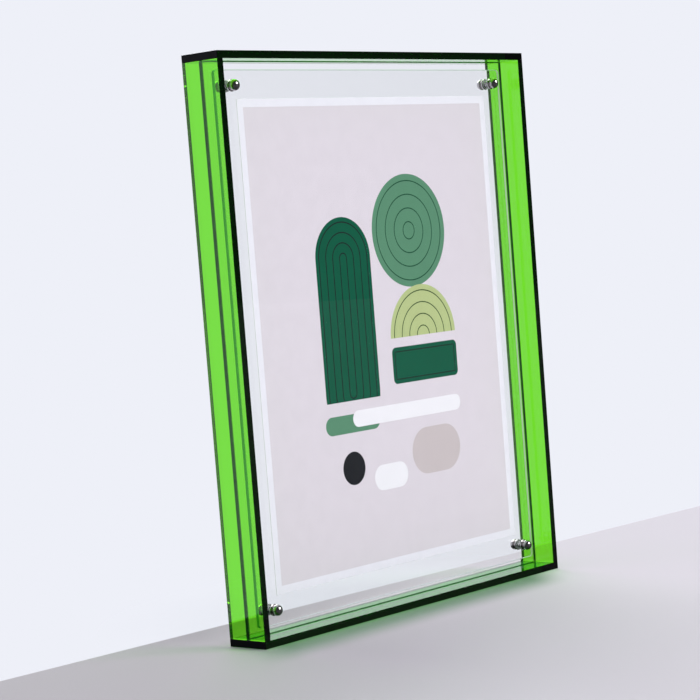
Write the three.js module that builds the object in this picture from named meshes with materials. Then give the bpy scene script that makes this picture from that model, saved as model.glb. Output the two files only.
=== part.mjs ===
// Acrylic photo frame: a box of four tinted strips around a clear back panel.
// A clear front cover clamps the print against the back panel. Each corner has a screw
// with a domed head behind the back panel, and a nut of the same shape before the cover.
//
// Millimetres. +X to the right seen from the front, +Y to the back, +Z up.
// The origin is the middle of the footprint, on the surface the frame stands on.

import * as THREE from 'three';

// The print and the clear border around it decide the size of the frame
const printWidth = 203;
const printHeight = 254;
const printThickness = 0.25;
const printClearance = 0.1;
const sideBorder = 19.5;
const endBorder = 19;

// Tinted strips
const stripThickness = 4;
const frameDepth = 25;
const edgeEase = 0.4;

// Clear panels
const panelSetback = 13;
const panelThickness = 2;
const coverThickness = 2;
const coverSideGap = 5.5;
const coverEndGap = 4.5;
const coverCornerRadius = 2;
const panelEase = 0.2;

// Studs through both panels, placed from the edges of the opening
const studSideInset = 14.5;
const studEndInset = 12.5;
const studDiameter = 3;
const studHoleClearance = 0.4;
const studTipChamfer = 0.4;
const studEndGap = 0.4;

// Washers between metal and acrylic
const washerThickness = 0.4;
const washerClearance = 0.25;
const washerOverhang = 1.5;

// Domed nuts and screw heads: flange, waist and nose, one shape for both
const threadClearance = 0.2;
const waistWall = 1;
const waistLength = 1.7;
const flangeOverhang = 0.4;
const flangeHeight = 0.65;
const noseOverhang = 0.3;
const noseHeight = 2.9;
const noseWall = 1.25;
const nutMouthChamfer = 0.25;
const turnedEdgeEase = 0.12;

// Smoothness of round shapes
const roundSegments = 28;
const domeSteps = 6;
const cornerSteps = 6;

// Sizes that follow from the ones above
const openingWidth = printWidth + 2 * sideBorder;
const openingHeight = printHeight + 2 * endBorder;
const frameWidth = openingWidth + 2 * stripThickness;
const frameHeight = openingHeight + 2 * stripThickness;
const middleHeight = frameHeight / 2;
const panelFrontY = panelSetback - frameDepth / 2;
const panelBackY = panelFrontY + panelThickness;
const printFrontY = panelFrontY - printClearance - printThickness;
const coverBackY = printFrontY - printClearance;
const coverFrontY = coverBackY - coverThickness;
const nutSeatY = coverFrontY - washerThickness;
const headSeatY = panelBackY + washerThickness;
const studRadius = studDiameter / 2;
const studHoleRadius = studRadius + studHoleClearance;
const boreRadius = studRadius + threadClearance;
const waistRadius = boreRadius + waistWall;
const headLength = flangeHeight + waistLength + noseHeight;
const boreDepth = headLength - noseWall;
const studTipY = nutSeatY - boreDepth + studEndGap;
const studX = openingWidth / 2 - studSideInset;
const studRise = openingHeight / 2 - studEndInset;

const tintedAcrylic = new THREE.MeshStandardMaterial({
  color: 0x4fc832,
  roughness: 0.06,
  metalness: 0,
  transparent: true,
  opacity: 0.6,
});
const clearAcrylic = new THREE.MeshStandardMaterial({
  color: 0xeaf3f2,
  roughness: 0.04,
  metalness: 0,
  transparent: true,
  opacity: 0.25,
});
const softPlastic = new THREE.MeshStandardMaterial({
  color: 0xdfe3e2,
  roughness: 0.35,
  metalness: 0,
  transparent: true,
  opacity: 0.6,
});
const polishedMetal = new THREE.MeshStandardMaterial({
  color: 0xd4d0d2,
  roughness: 0.12,
  metalness: 1,
});
const photoPaper = new THREE.MeshStandardMaterial({
  color: 0xdedbde,
  roughness: 0.5,
  metalness: 0,
});

// A mesh with its name, colour and place
function piece(name, geometry, material, x, y, z) {
  const mesh = new THREE.Mesh(geometry, material);
  mesh.name = name;
  mesh.position.set(x, y, z);
  return mesh;
}

// Rectangle centred on the origin, with its corners cut by the polishing bevel
function easedRectangle(width, height, ease) {
  const x = width / 2;
  const y = height / 2;
  const shape = new THREE.Shape();
  shape.moveTo(-x + ease, -y);
  shape.lineTo(x - ease, -y);
  shape.lineTo(x, -y + ease);
  shape.lineTo(x, y - ease);
  shape.lineTo(x - ease, y);
  shape.lineTo(-x + ease, y);
  shape.lineTo(-x, y - ease);
  shape.lineTo(-x, -y + ease);
  shape.closePath();
  return shape;
}

// Rectangle centred on the origin, with round corners
function roundedRectangle(width, height, radius) {
  const x = width / 2 - radius;
  const y = height / 2 - radius;
  const quarter = Math.PI / 2;
  const shape = new THREE.Shape();
  shape.moveTo(-x, -y - radius);
  shape.absarc(x, -y, radius, -quarter, 0);
  shape.absarc(x, y, radius, 0, quarter);
  shape.absarc(-x, y, radius, quarter, 2 * quarter);
  shape.absarc(-x, -y, radius, 2 * quarter, 3 * quarter);
  return shape;
}

// Top or bottom strip: it runs the full width and covers the ends of the side strips
function crossStrip(name, z) {
  const section = easedRectangle(frameDepth, stripThickness, edgeEase);
  const body = frameWidth - 2 * edgeEase;
  const geometry = new THREE.ExtrudeGeometry(section, {
    depth: body,
    steps: 1,
    bevelEnabled: true,
    bevelThickness: edgeEase,
    bevelSize: edgeEase,
    bevelOffset: -edgeEase,
    bevelSegments: 1,
  });
  geometry.translate(0, 0, -body / 2);
  geometry.rotateY(Math.PI / 2);
  geometry.rotateX(Math.PI / 2);
  return piece(name, geometry, tintedAcrylic, 0, 0, z);
}

// Side strip: it stands between the top and the bottom strip, with square sawn ends
function sideStrip(name, x) {
  const section = easedRectangle(stripThickness, frameDepth, edgeEase);
  const geometry = new THREE.ExtrudeGeometry(section, {
    depth: openingHeight,
    steps: 1,
    bevelEnabled: false,
  });
  return piece(name, geometry, tintedAcrylic, x, 0, stripThickness);
}

// Clear panel with the four stud holes, drawn facing the front and laid back into the XZ plane
function drilledPanel(outline, thickness, ease) {
  for (const side of [-1, 1]) {
    for (const level of [-1, 1]) {
      const hole = new THREE.Path();
      hole.absarc(side * studX, level * studRise, studHoleRadius, 0, 2 * Math.PI, true);
      outline.holes.push(hole);
    }
  }
  const geometry = new THREE.ExtrudeGeometry(outline, {
    depth: thickness - 2 * ease,
    steps: 1,
    curveSegments: cornerSteps,
    bevelEnabled: ease > 0,
    bevelThickness: ease,
    bevelSize: ease,
    bevelOffset: -ease,
    bevelSegments: 1,
  });
  geometry.translate(0, 0, ease);
  geometry.rotateX(Math.PI / 2);
  return geometry;
}

// Back panel, bonded by its edges to the inner faces of the strips
function backPanel() {
  const outline = easedRectangle(openingWidth, openingHeight, 0);
  const geometry = drilledPanel(outline, panelThickness, 0);
  return piece('back_panel', geometry, clearAcrylic, 0, panelBackY, middleHeight);
}

// Front cover, loose in the opening with a finger gap all round
function frontCover() {
  const width = openingWidth - 2 * coverSideGap;
  const height = openingHeight - 2 * coverEndGap;
  const outline = roundedRectangle(width, height, coverCornerRadius);
  const geometry = drilledPanel(outline, coverThickness, panelEase);
  return piece('front_cover', geometry, clearAcrylic, 0, coverBackY, middleHeight);
}

// The sheet held between the two panels
function photoPrint() {
  const geometry = new THREE.BoxGeometry(printWidth, printThickness, printHeight);
  const y = printFrontY + printThickness / 2;
  return piece('photo_print', geometry, photoPaper, 0, y, middleHeight);
}

// Turned piece: the profile is a list of [radius, y] pairs, revolved about the stud's axis
function turned(profile) {
  const points = profile.map(([radius, y]) => new THREE.Vector2(radius, y));
  return new THREE.LatheGeometry(points, roundSegments);
}

// Outline that nuts and screw heads share, as [radius, height] pairs from the seat to the nose
function headOutline() {
  const flangeRadius = waistRadius + flangeOverhang;
  const noseRadius = waistRadius + noseOverhang;
  const noseBase = flangeHeight + waistLength;
  const domeBase = noseBase + turnedEdgeEase;
  const domeHeight = headLength - domeBase;
  const outline = [
    [flangeRadius - turnedEdgeEase, 0],
    [flangeRadius, turnedEdgeEase],
    [flangeRadius, flangeHeight - turnedEdgeEase],
    [flangeRadius - turnedEdgeEase, flangeHeight],
    [waistRadius, flangeHeight],
    [waistRadius, noseBase],
    [noseRadius - turnedEdgeEase, noseBase],
    [noseRadius, domeBase],
  ];
  for (let step = 1; step < domeSteps; step += 1) {
    const turn = (step / domeSteps) * (Math.PI / 2);
    outline.push([noseRadius * Math.cos(turn), domeBase + domeHeight * Math.sin(turn)]);
  }
  outline.push([0, headLength]);
  return outline;
}

// Screw: a domed head behind the back panel and a stud that reaches into the nut
function screwGeometry() {
  const studLength = headSeatY - studTipY;
  return turned([
    [0, -studLength],
    [studRadius - studTipChamfer, -studLength],
    [studRadius, -studLength + studTipChamfer],
    [studRadius, 0],
    ...headOutline(),
  ]);
}

// Flat ring, from its seat at y = 0 towards the back
function washerGeometry() {
  const bore = studRadius + washerClearance;
  const rim = studRadius + washerOverhang;
  return turned([
    [bore, 0],
    [rim, 0],
    [rim, washerThickness],
    [bore, washerThickness],
    [bore, 0],
  ]);
}

// Nut: the shared outline turned to the front, with a blind bore from its seat at y = 0
function nutGeometry() {
  const outside = headOutline().reverse().map(([radius, height]) => [radius, -height]);
  return turned([
    ...outside,
    [boreRadius + nutMouthChamfer, 0],
    [boreRadius, -nutMouthChamfer],
    [boreRadius, -boreDepth],
    [0, -boreDepth],
  ]);
}

// One clamping point: screw, two washers and nut, in a group on the stud's axis
function clampingPoint(corner, side, level) {
  const group = new THREE.Group();
  group.position.set(side * studX, 0, middleHeight + level * studRise);
  group.add(piece(`${corner}_screw`, screwGeometry(), polishedMetal, 0, headSeatY, 0));
  group.add(piece(`${corner}_rear_washer`, washerGeometry(), softPlastic, 0, panelBackY, 0));
  group.add(piece(`${corner}_front_washer`, washerGeometry(), softPlastic, 0, nutSeatY, 0));
  group.add(piece(`${corner}_nut`, nutGeometry(), polishedMetal, 0, nutSeatY, 0));
  return group;
}

const frame = new THREE.Group();
frame.add(crossStrip('top_strip', frameHeight - stripThickness / 2));
frame.add(crossStrip('bottom_strip', stripThickness / 2));
frame.add(sideStrip('left_strip', -(frameWidth - stripThickness) / 2));
frame.add(sideStrip('right_strip', (frameWidth - stripThickness) / 2));
frame.add(backPanel());
frame.add(photoPrint());
frame.add(frontCover());
frame.add(clampingPoint('upper_left', -1, 1));
frame.add(clampingPoint('upper_right', 1, 1));
frame.add(clampingPoint('lower_left', -1, -1));
frame.add(clampingPoint('lower_right', 1, -1));

export default frame;
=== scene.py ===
"""Looks of the acrylic photo frame: its visible pieces, their finishes, and the studio around them.

Metres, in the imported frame: +X to the right seen from the front, +Y to the back, +Z up.
"""

from __future__ import annotations

import logging
import math
from collections.abc import Callable, Iterable, Sequence
from dataclasses import dataclass
from enum import Enum

import bmesh
import bpy
from mathutils import Matrix, Vector


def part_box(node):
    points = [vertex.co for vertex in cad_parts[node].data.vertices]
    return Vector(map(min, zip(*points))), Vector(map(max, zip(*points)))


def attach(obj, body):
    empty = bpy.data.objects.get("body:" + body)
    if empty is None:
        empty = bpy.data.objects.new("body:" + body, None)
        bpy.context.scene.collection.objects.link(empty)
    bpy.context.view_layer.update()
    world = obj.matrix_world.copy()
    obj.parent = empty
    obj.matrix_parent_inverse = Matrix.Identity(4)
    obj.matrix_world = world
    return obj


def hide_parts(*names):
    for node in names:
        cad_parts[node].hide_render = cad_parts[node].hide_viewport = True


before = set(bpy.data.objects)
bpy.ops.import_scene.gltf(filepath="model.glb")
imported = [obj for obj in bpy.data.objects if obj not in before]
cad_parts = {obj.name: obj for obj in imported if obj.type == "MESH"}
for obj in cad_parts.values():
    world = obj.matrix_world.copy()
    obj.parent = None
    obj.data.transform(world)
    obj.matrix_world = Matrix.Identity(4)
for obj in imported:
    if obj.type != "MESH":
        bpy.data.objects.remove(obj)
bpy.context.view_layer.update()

LOG = logging.getLogger("photo_frame")
MM = 0.001
SQUARE_MM = MM * MM

# Range that most values of a noise lie in
NOISE_RANGE = (0.3, 0.7)
# Range that nearly all of them lie in
WIDE_RANGE = (0.2, 0.8)
# How squarely a face looks along an axis, as a cosine, to count as facing it
FACING = 0.9
# Index of refraction of cast acrylic
ACRYLIC_INDEX = 1.49

Colour = tuple[float, float, float]
Pair = tuple[float, float]
Profile = list[Pair]
Socket = bpy.types.NodeSocket
Sockets = dict[str, Socket]


def tone(red: int, green: int, blue: int) -> Colour:
    """Turns a screen colour into the linear colour that shaders take.

    Args:
        red: Red from 0 to 255.
        green: Green from 0 to 255.
        blue: Blue from 0 to 255.

    Returns:
        The same colour as linear values from 0 to 1.
    """

    def linear(value: int) -> float:
        """Linear value of one channel, by the sRGB curve."""
        share = value / 255
        return share / 12.92 if share <= 0.04045 else ((share + 0.055) / 1.055) ** 2.4

    return linear(red), linear(green), linear(blue)


def rgba(colour: Colour) -> tuple[float, float, float, float]:
    """Adds a full alpha to a colour.

    Args:
        colour: A linear colour.

    Returns:
        The colour with alpha 1.
    """
    return (*colour, 1.0)


def scaled(colour: Colour, share: float) -> Colour:
    """Darkens a colour.

    Args:
        colour: A linear colour.
        share: How much of it is left.

    Returns:
        The darker colour.
    """
    red, green, blue = colour
    return share * red, share * green, share * blue


WHITE = rgba((1.0, 1.0, 1.0))


class Corner(Enum):
    """Clamping point, by its side (-1 is left) and its level (-1 is lower)."""

    UPPER_LEFT = (-1, 1)
    UPPER_RIGHT = (1, 1)
    LOWER_LEFT = (-1, -1)
    LOWER_RIGHT = (1, -1)

    @property
    def label(self) -> str:
        """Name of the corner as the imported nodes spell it."""
        return self.name.lower()


class Side(Enum):
    """Side of the clear panels on which a washer or a bead lies."""

    FRONT = "front"
    REAR = "rear"


class Strip(Enum):
    """Tinted strip, with the edges that its polishing bevel follows."""

    TOP = ("top_strip", "XYZ")
    BOTTOM = ("bottom_strip", "XYZ")
    LEFT = ("left_strip", "Z")
    RIGHT = ("right_strip", "Z")

    @property
    def node(self) -> str:
        """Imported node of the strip."""
        return self.value[0]

    @property
    def eased_axes(self) -> str:
        """Axes along which the strip's edges are eased."""
        return self.value[1]

    @property
    def upright(self) -> bool:
        """Whether it stands between the other two, with square ends."""
        return self.eased_axes == "Z"


@dataclass(frozen=True)
class Span:
    """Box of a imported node, in metres.

    Args:
        low: Lowest corner.
        high: Highest corner.
    """

    low: Vector
    high: Vector

    @classmethod
    def of(cls, node: str) -> Span:
        """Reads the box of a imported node.

        Args:
            node: Name of the node.

        Returns:
            Its box at rest.
        """
        low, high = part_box(node)
        return cls(Vector(low), Vector(high))

    @property
    def centre(self) -> Vector:
        """Middle of the box."""
        return (self.low + self.high) / 2

    @property
    def size(self) -> Vector:
        """Lengths of the box along X, Y and Z."""
        return self.high - self.low

    def shortened(self, cut: float) -> Span:
        """Takes the same length off both ends of the box along Z.

        Args:
            cut: How much comes off each end.

        Returns:
            The shorter box.
        """
        step = Vector((0.0, 0.0, cut))
        return Span(self.low + step, self.high - step)


# Node trees


class Graph:
    """Adds nodes to one node tree and links them.

    Args:
        tree: The tree to fill.
    """

    def __init__(self, tree: bpy.types.NodeTree) -> None:
        """Takes the tree to fill."""
        self.tree = tree

    def add(self, kind: str, inputs: dict | None = None, **settings: object) -> bpy.types.Node:
        """Adds a node.

        Args:
            kind: Type of the node.
            inputs: Values or sockets by the input's name or number.
            settings: Properties of the node.

        Returns:
            The new node.
        """
        node = self.tree.nodes.new(kind)
        for name, value in settings.items():
            setattr(node, name, value)
        for key, value in (inputs or {}).items():
            self.put(node.inputs[key], value)
        return node

    def put(self, socket: Socket, value: object) -> None:
        """Links a socket to an input, or sets the input's value.

        Args:
            socket: The input.
            value: Another socket, or a plain value.
        """
        if isinstance(value, Socket):
            self.tree.links.new(value, socket)
        else:
            socket.default_value = value

    def math(self, operation: str, first: object, second: object = 0.0, clamp: bool = False) -> Socket:
        """Adds a Math node.

        Args:
            operation: What it does.
            first: First value or socket.
            second: Second value or socket.
            clamp: Whether the result stays between 0 and 1.

        Returns:
            The result's socket.
        """
        node = self.add("ShaderNodeMath", {0: first, 1: second}, operation=operation, use_clamp=clamp)
        return node.outputs[0]

    def ramp(self, value: object, low: float, high: float, start: float = 0.0, end: float = 1.0) -> Socket:
        """Adds a smooth step from one value to another.

        Args:
            value: Value or socket that drives the step.
            low: Where the step begins.
            high: Where it ends.
            start: Result before the step.
            end: Result after it.

        Returns:
            The result's socket.
        """
        inputs = {"Value": value, "From Min": low, "From Max": high, "To Min": start, "To Max": end}
        return self.add("ShaderNodeMapRange", inputs, interpolation_type="SMOOTHSTEP").outputs["Result"]

    def mix(self, factor: object, first: object, second: object, blend: str = "MIX") -> Socket:
        """Mixes two colours.

        Args:
            factor: Share of the second colour.
            first: First colour or socket.
            second: Second colour or socket.
            blend: How the two are blended.

        Returns:
            The mixed colour's socket.
        """
        inputs = {0: factor, 6: first, 7: second}
        return self.add("ShaderNodeMix", data_type="RGBA", blend_type=blend, inputs=inputs).outputs[2]

    def between(self, share: object, first: object, second: object) -> Socket:
        """Mixes two values by the share of the second one."""
        return self.add("ShaderNodeMix", {0: share, 2: first, 3: second}, data_type="FLOAT").outputs[0]

    def noise(self, vector: object, scale: float, detail: float = 3.0, roughness: float = 0.5) -> Socket:
        """Adds a noise texture.

        Args:
            vector: Coordinates.
            scale: Cells per metre.
            detail: Layers of finer noise.
            roughness: How strong the finer layers are.

        Returns:
            The noise value's socket.
        """
        inputs = {"Vector": vector, "Scale": scale, "Detail": detail, "Roughness": roughness}
        return self.add("ShaderNodeTexNoise", inputs).outputs["Fac"]

    def axes(self, vector: object) -> tuple[Socket, Socket, Socket]:
        """Splits a vector.

        Args:
            vector: The vector's socket.

        Returns:
            Its three parts.
        """
        node = self.add("ShaderNodeSeparateXYZ", {0: vector})
        return node.outputs[0], node.outputs[1], node.outputs[2]

    def stretched(self, vector: object, scale: Sequence[float], turn: float = 0.0) -> Socket:
        """Scales coordinates unevenly.

        Args:
            vector: Coordinates.
            scale: Scale along X, Y and Z.
            turn: Turn about Y in radians, before the scale.

        Returns:
            The new coordinates' socket.
        """
        turned = self.add("ShaderNodeMapping", {"Vector": vector, "Rotation": (0.0, turn, 0.0)})
        return self.add("ShaderNodeMapping", {"Vector": turned.outputs[0], "Scale": scale}).outputs[0]

    def bump(self, height: object, strength: float, distance: float) -> Socket:
        """Adds a bump.

        Args:
            height: The height's socket.
            strength: Strength of the bump.
            distance: How far out a height of 1 lies.

        Returns:
            The bent normal's socket.
        """
        inputs = {"Height": height, "Strength": strength, "Distance": distance}
        return self.add("ShaderNodeBump", inputs).outputs[0]

    def principled(self, colour: object, rough: object, **more: object) -> bpy.types.Node:
        """Adds a Principled shader.

        Args:
            colour: Its base colour.
            rough: Its roughness.
            more: Other values or sockets by the input's name, with _ for each space.

        Returns:
            The shader's node.
        """
        inputs = {"Base Color": colour, "Roughness": rough}
        inputs |= {name.replace("_", " "): value for name, value in more.items()}
        return self.add("ShaderNodeBsdfPrincipled", inputs)

    def looked_at(self, path: bpy.types.Node) -> Socket:
        """Masks the rays that show a thing: straight, mirrored or through glass.

        Args:
            path: The graph's Light Path node.

        Returns:
            The mask's socket.
        """
        seen = self.math("MAXIMUM", path.outputs["Is Camera Ray"], path.outputs["Is Glossy Ray"])
        return self.math("MAXIMUM", seen, path.outputs["Is Transmission Ray"])

    def was_mirrored(self, path: bpy.types.Node) -> Socket:
        """Masks the rays that a mirror sent on, by the graph's Light Path node."""
        return self.math("GREATER_THAN", path.outputs["Glossy Depth"], 0.5)


class MaterialGraph(Graph):
    """Graph of one material, with the object's coordinates and the output.

    Args:
        tree: The material's tree, which is empty.
    """

    def __init__(self, tree: bpy.types.NodeTree) -> None:
        """Takes the tree and adds the two nodes that every material has.

        Args:
            tree: The material's tree, which is empty.
        """
        super().__init__(tree)
        self.place = self.add("ShaderNodeTexCoord").outputs["Object"]
        self.output = self.add("ShaderNodeOutputMaterial")

    def surface(self, shader: bpy.types.Node) -> None:
        """Makes a shader the material's surface."""
        self.put(self.output.inputs["Surface"], shader.outputs[0])

    def show_through(self, shader: bpy.types.Node, colour: Colour, density: float) -> None:
        """Ends a clear material: lamps reach through it, and its depth takes colour off the light.

        Args:
            shader: The surface shader.
            colour: Colour that the depth leaves.
            density: How fast the depth takes off the rest, per metre.
        """
        path = self.add("ShaderNodeLightPath")
        clear = self.add("ShaderNodeBsdfTransparent").outputs[0]
        # Light reaches what lies behind the sheet by two kinds of ray. Both pass straight through, so that
        # it counts once
        for ray in ("Is Diffuse Ray", "Is Shadow Ray"):
            shader = self.add("ShaderNodeMixShader", {0: path.outputs[ray], 1: shader.outputs[0], 2: clear})
        self.surface(shader)
        depth = self.add("ShaderNodeVolumeAbsorption", {"Color": rgba(colour), "Density": density})
        self.put(self.output.inputs["Volume"], depth.outputs[0])


@dataclass(frozen=True)
class Pattern:
    """Reusable shader node group that gives masks, heights or colours.

    Args:
        name: Name of the group.
        inputs: Name, socket type and default of each input.
        outputs: Name and socket type of each output.
        build: Fills the group: takes the graph and the input sockets, gives the output sockets.
    """

    name: str
    inputs: tuple[tuple[str, str, object], ...]
    outputs: tuple[tuple[str, str], ...]
    build: Callable[[Graph, Sockets], Sequence[Socket]]

    def tree(self) -> bpy.types.NodeTree:
        """Makes the group, or gives the one made before.

        Returns:
            The node group.
        """
        known = bpy.data.node_groups.get(self.name)
        if known is not None:
            return known
        tree = bpy.data.node_groups.new(self.name, "ShaderNodeTree")
        for name, kind, default in self.inputs:
            socket = tree.interface.new_socket(name, in_out="INPUT", socket_type=kind)
            if default is not None:
                socket.default_value = default
        for name, kind in self.outputs:
            tree.interface.new_socket(name, in_out="OUTPUT", socket_type=kind)
        graph = Graph(tree)
        start = graph.add("NodeGroupInput")
        end = graph.add("NodeGroupOutput")
        results = self.build(graph, {name: start.outputs[name] for name, _, _ in self.inputs})
        for index, socket in enumerate(results):
            graph.put(end.inputs[index], socket)
        return tree

    def use(self, graph: Graph, **values: object) -> bpy.types.Node:
        """Places the group in a material.

        Args:
            graph: The material's graph.
            values: Values or sockets by the input's name, with _ for each space.

        Returns:
            The group's node.
        """
        node = graph.add("ShaderNodeGroup", node_tree=self.tree())
        for name, value in values.items():
            graph.put(node.inputs[name.replace("_", " ")], value)
        return node


FLOAT = "NodeSocketFloat"
VECTOR = "NodeSocketVector"

# Runs of fine scratches: the turn of each, and where in the noise it starts
SCRATCH_RUNS = ((0.6, 0.0), (-0.9, 4.0))
# Cells per metre of a run along X, Y and Z, and the range of its noise over which a scratch begins
SCRATCH_CELLS = (60.0, 900.0, 2600.0)
SCRATCH_RANGE = (0.70, 0.74)
# Cells per metre of the places that are scratched at all, and the range over which such a place begins
SCRATCHED_CELLS = 25.0
SCRATCHED_RANGE = (0.50, 0.62)
# The same for smudges, and for the marks of a cloth across them, which have a turn too
SMUDGE_CELLS = 14.0
SMUDGE_RANGE = (0.42, 0.72)
WIPE_CELLS = (18.0, 60.0, 140.0)
WIPE_RANGE = (0.35, 0.75)
WIPE_TURN = 0.5
# Rings of a lathe tool: cells per metre, layers of finer noise, and share in the height
TOOL_RINGS = ((9000.0, 3.0, 0.6), (2600.0, 1.0, 0.4))
# Width over which the edge of a printed shape blurs
PRINT_BLUR = 0.12 * MM
# Cells per metre of a paper's tooth and of its cloudiness
TOOTH_CELLS = 3200.0
CLOUD_CELLS = 120.0


def _hairlines(graph: Graph, given: Sockets) -> list[Socket]:
    """Sparse fine scratches from two crossed, stretched noises.

    Args:
        graph: The group's graph.
        given: The input sockets by name.

    Returns:
        The mask's socket.
    """
    place = given["Vector"]
    crossed = []
    for turn, seed in SCRATCH_RUNS:
        shifted = graph.add("ShaderNodeVectorMath", {0: place, 1: (seed, seed, seed)}, operation="ADD")
        long = graph.stretched(shifted.outputs[0], SCRATCH_CELLS, turn)
        crossed.append(graph.ramp(graph.noise(long, 1.0, 2.0), *SCRATCH_RANGE))
    lines = graph.math("MAXIMUM", *crossed)
    gate = graph.ramp(graph.noise(place, SCRATCHED_CELLS, 2.0), *SCRATCHED_RANGE)
    return [graph.math("MULTIPLY", graph.math("MULTIPLY", lines, gate), given["Amount"])]


def _smudges(graph: Graph, given: Sockets) -> list[Socket]:
    """Broad soft patches, as hands and a cloth leave them.

    Args:
        graph: The group's graph.
        given: The input sockets by name.

    Returns:
        The mask's socket.
    """
    broad = graph.noise(given["Vector"], SMUDGE_CELLS, 4.0, 0.6)
    wiped = graph.noise(graph.stretched(given["Vector"], WIPE_CELLS, WIPE_TURN), 1.0)
    both = graph.math("MULTIPLY", graph.ramp(broad, *SMUDGE_RANGE), graph.ramp(wiped, *WIPE_RANGE))
    return [graph.math("MULTIPLY", both, given["Amount"])]


def _band(graph: Graph, given: Sockets) -> list[Socket]:
    """Mask of what lies further than a distance from a middle.

    Args:
        graph: The group's graph.
        given: The input sockets by name.

    Returns:
        The mask's socket.
    """
    away = graph.math("ABSOLUTE", graph.math("SUBTRACT", given["Value"], given["Middle"]))
    past = graph.math("SUBTRACT", away, given["Distance"])
    return [graph.math("DIVIDE", past, given["Softness"], clamp=True)]


def _turning(graph: Graph, given: Sockets) -> list[Socket]:
    """Fine rings that a lathe tool leaves, about the four stud axes.

    Args:
        graph: The group's graph.
        given: The input sockets by name.

    Returns:
        The height's socket.
    """
    x, y, z = graph.axes(given["Vector"])
    across = graph.math("SUBTRACT", graph.math("ABSOLUTE", x), given["Axis X"])
    rise = graph.math("ABSOLUTE", graph.math("SUBTRACT", z, given["Middle Z"]))
    up = graph.math("SUBTRACT", rise, given["Axis Rise"])
    square = graph.math("ADD", graph.math("MULTIPLY", across, across), graph.math("MULTIPLY", up, up))
    radius = graph.math("SQRT", square)
    place = graph.add("ShaderNodeCombineXYZ", {0: radius, 1: y, 2: 0.0}).outputs[0]
    rings = []
    for cells, detail, share in TOOL_RINGS:
        rings.append(graph.math("MULTIPLY", graph.noise(place, cells, detail), share))
    return [graph.math("ADD", *rings)]


def _shape(graph: Graph, given: Sockets) -> list[Socket]:
    """Flat printed shape: a rectangle with round corners, cut off below a base line.

    Args:
        graph: The group's graph.
        given: The input sockets by name.

    Returns:
        The sockets of the shape's mask and of the mask of the lines inside it.
    """
    x, _, z = graph.axes(given["Vector"])
    radius = given["Corner"]
    parts = []
    for value, centre, half in ((x, "Centre X", "Half Width"), (z, "Centre Z", "Half Height")):
        away = graph.math("ABSOLUTE", graph.math("SUBTRACT", value, given[centre]))
        inner = graph.math("SUBTRACT", given[half], radius)
        over = graph.math("SUBTRACT", away, inner)
        parts.append(graph.math("MAXIMUM", over, 0.0))
    square = graph.math("ADD", *(graph.math("MULTIPLY", part, part) for part in parts))
    depth = graph.math("SUBTRACT", radius, graph.math("SQRT", square))
    above = graph.math("SUBTRACT", z, given["Base"])
    inside = graph.math("MINIMUM", depth, above)
    fill = graph.math("DIVIDE", inside, PRINT_BLUR, clamp=True)
    wave = graph.math("FRACT", graph.math("DIVIDE", depth, given["Spacing"]))
    close = graph.math("ABSOLUTE", graph.math("SUBTRACT", wave, 0.5))
    width = graph.math("DIVIDE", given["Line"], given["Spacing"])
    line = graph.math("LESS_THAN", close, width)
    return [fill, graph.math("MULTIPLY", line, fill)]


def _fibres(graph: Graph, given: Sockets) -> list[Socket]:
    """Fine tooth of coated photo paper.

    Args:
        graph: The group's graph.
        given: The input sockets by name.

    Returns:
        The sockets of the fine tooth and of the broad cloud.
    """
    tooth = graph.noise(given["Vector"], TOOTH_CELLS, roughness=0.6)
    cloud = graph.noise(given["Vector"], CLOUD_CELLS, 2.0)
    return [tooth, cloud]


AMOUNT_OF = (("Vector", VECTOR, None), ("Amount", FLOAT, 1.0))
HAIRLINES = Pattern("hairlines", AMOUNT_OF, (("Mask", FLOAT),), _hairlines)
SMUDGES = Pattern("smudges", AMOUNT_OF, (("Mask", FLOAT),), _smudges)
BAND = Pattern(
    "band",
    (("Value", FLOAT, 0.0), ("Middle", FLOAT, 0.0), ("Distance", FLOAT, 0.1), ("Softness", FLOAT, 0.0001)),
    (("Mask", FLOAT),),
    _band,
)
TURNING = Pattern(
    "turning",
    (("Vector", VECTOR, None), ("Axis X", FLOAT, 0.1), ("Axis Rise", FLOAT, 0.1), ("Middle Z", FLOAT, 0.15)),
    (("Height", FLOAT),),
    _turning,
)
SHAPE = Pattern(
    "printed_shape",
    (
        ("Vector", VECTOR, None),
        ("Centre X", FLOAT, 0.0),
        ("Centre Z", FLOAT, 0.0),
        ("Half Width", FLOAT, 0.01),
        ("Half Height", FLOAT, 0.01),
        ("Corner", FLOAT, 0.01),
        ("Base", FLOAT, 0.0),
        ("Spacing", FLOAT, 0.01),
        ("Line", FLOAT, 0.0),
    ),
    (("Fill", FLOAT), ("Lines", FLOAT)),
    _shape,
)
FIBRES = Pattern("paper_tooth", (("Vector", VECTOR, None),), (("Tooth", FLOAT), ("Cloud", FLOAT)), _fibres)


# Finishes


@dataclass(frozen=True)
class Finish:
    """Base of all finishes: a named material built from nodes.

    Args:
        name: Name of the material.
    """

    name: str

    def material(self) -> bpy.types.Material:
        """Makes the material, or gives the one made before.

        Returns:
            The material.
        """
        known = bpy.data.materials.get(self.name)
        if known is not None:
            return known
        made = bpy.data.materials.new(self.name)
        made.use_nodes = True
        made.node_tree.nodes.clear()
        self.fill(MaterialGraph(made.node_tree))
        return made

    def fill(self, graph: MaterialGraph) -> None:
        """Adds the finish's nodes.

        Args:
            graph: The material's graph.
        """
        raise NotImplementedError


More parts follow.
